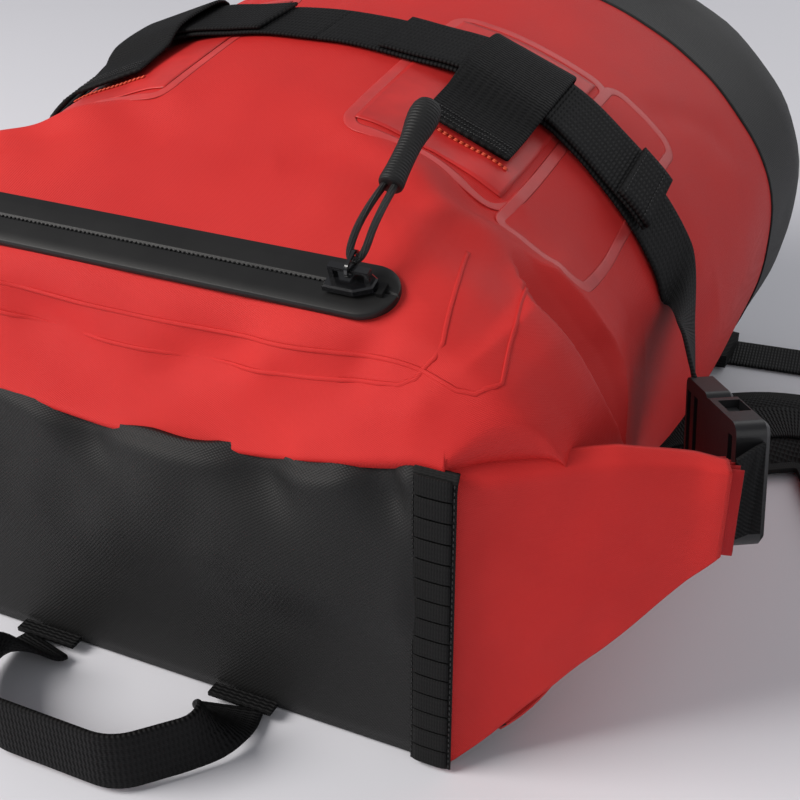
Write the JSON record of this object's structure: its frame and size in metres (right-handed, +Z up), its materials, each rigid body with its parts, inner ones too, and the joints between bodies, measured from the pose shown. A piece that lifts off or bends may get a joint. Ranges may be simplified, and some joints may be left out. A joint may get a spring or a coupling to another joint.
{
  "type": "dry backpack",
  "caption": "Waterproof roll-top backpack lying on its back, mouth rolled and clipped at both sides, with a zipped front pocket, compression strap and padded harness.",
  "frame": {"origin": "on the floor under the middle of the back, on the spine pad's face", "axes": "+X across the back, +Y from the rolled mouth to the foot of the bag, +Z up out of the back"},
  "size_m": [0.708, 0.4065, 0.1934],
  "materials": {
    "red_fabric": "satin coated weave",
    "black_fabric": "satin coated weave",
    "red_edge": "matte cut edges",
    "stiffener": "matte",
    "weld_film": "glossy film",
    "webbing": "woven",
    "ribbon": "woven",
    "zip_urethane": "satin",
    "zip_plastic": "matte",
    "slider_metal": "gloss",
    "cord": "braided",
    "grip_rubber": "matte",
    "buckle_plastic": "satin",
    "pad_mesh": "mesh"
  },
  "bodies": {
    "bag": {"back_pad_lumbar": "pad_mesh", "back_pad_spine": "pad_mesh", "back_panel": "black_fabric", "bottom_boot": "black_fabric", "buckle_socket_left": "buckle_plastic", "buckle_socket_right": "buckle_plastic", "collar_wall": "black_fabric", "collar_wing_left": "red_fabric", "collar_wing_right": "red_fabric", "compression_strap": "webbing", "corner_anchor_left": "webbing", "corner_anchor_right": "webbing", "front_panel": "red_fabric", "handle_anchors": "webbing", "ladder_lock_left": "buckle_plastic", "ladder_lock_right": "buckle_plastic", "ladder_ribbon_left": "ribbon", "ladder_ribbon_right": "ribbon", "ladder_webbing_left": "webbing", "ladder_webbing_right": "webbing", "loop_patch_left": "weld_film", "loop_patch_right": "weld_film", "pocket_liner": "black_fabric", "roll_core": "red_edge", "roll_tab_left": "webbing", "roll_tab_right": "webbing", "shoulder_strap_left": "pad_mesh", "shoulder_strap_right": "pad_mesh", "side_panel_left": "red_fabric", "side_panel_right": "red_fabric", "stiffener_back": "stiffener", "stiffener_front": "stiffener", "strap_loop_left": "webbing", "strap_loop_right": "webbing", "strap_tail_left": "webbing", "strap_tail_right": "webbing", "zip_coil": "zip_plastic", "zip_stops": "zip_plastic", "zip_tape": "zip_urethane"},
    "slider": {"zip_slider": "slider_metal"},
    "ring": {"puller_ring": "slider_metal"},
    "puller": {"puller_cord": "cord", "puller_grip": "grip_rubber"},
    "handle": {"haul_handle": "webbing"},
    "plug_right": {"buckle_plug_right": "buckle_plastic"},
    "prong_upper_right": {"prong_upper_right": "buckle_plastic"},
    "prong_lower_right": {"prong_lower_right": "buckle_plastic"},
    "plug_left": {"buckle_plug_left": "buckle_plastic"},
    "prong_upper_left": {"prong_upper_left": "buckle_plastic"},
    "prong_lower_left": {"prong_lower_left": "buckle_plastic"}
  },
  "joints": [
    {"name": "zip_slide", "type": "slide", "parent": "bag", "child": "slider", "axis": [1, 0, 0], "range_m": [-0.144, 0]},
    {"name": "ring_lift", "type": "hinge", "parent": "slider", "child": "ring", "pos_m": [0.072, -0.1566, 0.15874], "axis": [1, 0, 0], "range_deg": [-6, 110]},
    {"name": "puller_swing", "type": "hinge", "parent": "ring", "child": "puller", "pos_m": [0.072, -0.15158, 0.16164], "axis": [0, -0.5, 0.866], "range_deg": [-60, 60]},
    {"name": "buckle_release_right", "type": "slide", "parent": "bag", "child": "plug_right", "axis": [-0.5128, 0.8346, -0.2011], "range_m": [0, 0.022], "deforming": ["compression_strap", "prong_upper_right", "prong_lower_right"]},
    {"name": "prong_upper_right_squeeze", "type": "hinge", "parent": "plug_right", "child": "prong_upper_right", "pos_m": [0.17018, -0.09375, 0.09851], "axis": [0.852, 0.5235, 0], "range_deg": [0, 9], "stiffness_Nm_per_rad": 0.01},
    {"name": "prong_lower_right_squeeze", "type": "hinge", "parent": "plug_right", "child": "prong_lower_right", "pos_m": [0.17239, -0.09735, 0.07794], "axis": [0.852, 0.5235, 0], "range_deg": [-9, 0]},
    {"name": "buckle_release_left", "type": "slide", "parent": "bag", "child": "plug_left", "axis": [0.5128, 0.8346, -0.2011], "range_m": [0, 0.022], "deforming": ["compression_strap", "prong_upper_left", "prong_lower_left"]},
    {"name": "prong_upper_left_squeeze", "type": "hinge", "parent": "plug_left", "child": "prong_upper_left", "pos_m": [-0.17018, -0.09375, 0.09851], "axis": [-0.852, 0.5235, 0], "range_deg": [-9, 0], "stiffness_Nm_per_rad": 0.01},
    {"name": "prong_lower_left_squeeze", "type": "hinge", "parent": "plug_left", "child": "prong_lower_left", "pos_m": [-0.17239, -0.09735, 0.07794], "axis": [-0.852, 0.5235, 0], "range_deg": [0, 9]},
    {"name": "haul_handle_swing", "type": "hinge", "parent": "bag", "child": "handle", "pos_m": [0, -0.1832, 0.004], "axis": [1, 0, 0], "range_deg": [-60, 0]}
  ],
  "couplings": [
    {"joint": "prong_lower_right_squeeze", "follows": "prong_upper_right_squeeze", "ratio": -1},
    {"joint": "prong_lower_left_squeeze", "follows": "prong_upper_left_squeeze", "ratio": -1}
  ]
}
